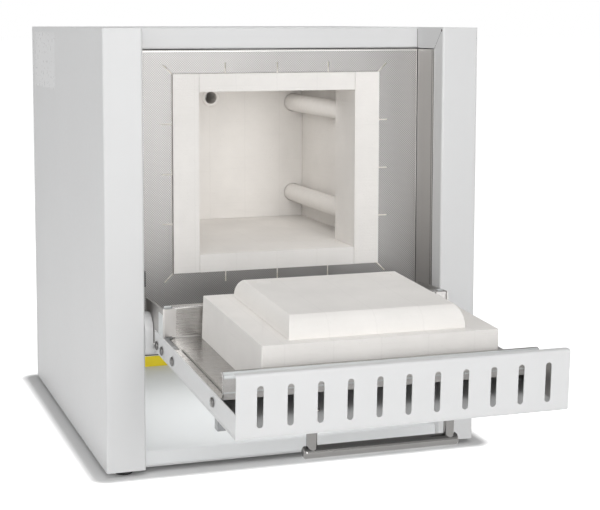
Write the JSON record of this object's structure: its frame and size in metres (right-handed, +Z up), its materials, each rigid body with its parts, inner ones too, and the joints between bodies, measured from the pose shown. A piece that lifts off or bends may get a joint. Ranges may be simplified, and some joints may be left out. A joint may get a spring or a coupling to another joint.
{
  "type": "dental lab furnace",
  "caption": "Bench-top chamber furnace with a brick-lined heating chamber, a flap door that hinges down at the front and an open compartment below.",
  "frame": {"origin": "on the standing surface under the middle of the footprint, with the door open at rest", "axes": "+Z up, the door opens towards -Y, +X to the right seen from the front"},
  "size_m": [0.49, 0.9012, 0.546],
  "materials": {
    "white_paint": "satin",
    "compartment_paint": "satin",
    "yellow_strip": "satin",
    "plate_label": "satin",
    "stainless_liner": "brushed",
    "textured_stainless": "embossed",
    "stainless_sheet": "brushed",
    "stainless_bar": "satin",
    "screw_steel": "polished",
    "insulation_brick": "matt",
    "blanket": "matt",
    "dense_ceramic": "matt",
    "element_alloy": "oxidised",
    "brass_parts": "satin",
    "lead_sleeve": "matt",
    "black_aluminium": "anodised",
    "black_plastic": "matt",
    "red_plastic": "matt",
    "rubber_feet": "matt"
  },
  "bodies": {
    "cabinet": {"casing_left": "white_paint", "casing_right": "white_paint", "roof_panel": "white_paint", "rear_cover": "white_paint", "chassis_plate": "white_paint", "compartment_pan": "compartment_paint", "compartment_back": "compartment_paint", "compartment_ceiling": "white_paint", "marker_strip": "yellow_strip", "rating_plate": "plate_label", "niche_liner_left": "stainless_liner", "niche_liner_right": "stainless_liner", "front_plate": "textured_stainless", "collar_left": "insulation_brick", "collar_right": "insulation_brick", "collar_top": "insulation_brick", "collar_bottom": "insulation_brick", "chamber_wall_left": "insulation_brick", "chamber_wall_right": "insulation_brick", "chamber_roof": "insulation_brick", "chamber_floor": "insulation_brick", "chamber_rear": "insulation_brick", "backing_blankets": "blanket", "inner_case_wrap": "stainless_sheet", "inner_case_tray": "stainless_sheet", "support_rails": "stainless_sheet", "heating_tubes": "dense_ceramic", "heating_windings": "element_alloy", "element_clamps": "brass_parts", "element_leads": "lead_sleeve", "thermocouple": "dense_ceramic", "exhaust_duct": "dense_ceramic", "exhaust_spigot": "stainless_sheet", "heat_sink": "black_aluminium", "solid_state_relay": "black_plastic", "safety_contactor": "black_plastic", "terminal_block": "dense_ceramic", "controller_socket": "black_plastic", "cable_gland": "black_plastic", "switch_housing": "black_plastic", "cover_screws": "screw_steel", "feet": "rubber_feet", "hinge_bracket_left": "white_paint", "hinge_bracket_right": "white_paint", "hinge_pins": "screw_steel", "door_switch": "black_plastic"},
    "door": {"door_shell": "white_paint", "door_tray": "stainless_sheet", "base_brick": "insulation_brick", "plug_brick": "insulation_brick", "brick_anchors": "stainless_sheet", "anchor_caps": "dense_ceramic", "hinge_arm_left": "stainless_sheet", "hinge_arm_right": "stainless_sheet", "hinge_bushes": "brass_parts", "door_screws": "screw_steel", "handle": "stainless_bar"},
    "plunger": {"switch_plunger": "red_plastic"},
    "rocker": {"mains_rocker": "black_plastic"},
    "air_slide": {"air_slide": "black_plastic"}
  },
  "joints": [
    {"name": "door_hinge", "type": "hinge", "parent": "cabinet", "child": "door", "pos_m": [0, -0.08135, 0.1785], "axis": [-1, 0, 0], "range_deg": [0, 93]},
    {"name": "door_switch_press", "type": "slide", "parent": "cabinet", "child": "plunger", "axis": [0, 1, 0], "range_m": [0, 0.0025], "stiffness_N_per_m": 200},
    {"name": "mains_rocker_tilt", "type": "hinge", "parent": "cabinet", "child": "rocker", "pos_m": [-0.095, 0.42565, 0.106], "axis": [1, 0, 0], "range_deg": [0, 20]},
    {"name": "air_slide_shift", "type": "slide", "parent": "door", "child": "air_slide", "axis": [0, -0.9986, -0.0523], "range_m": [0, 0.016]}
  ]
}
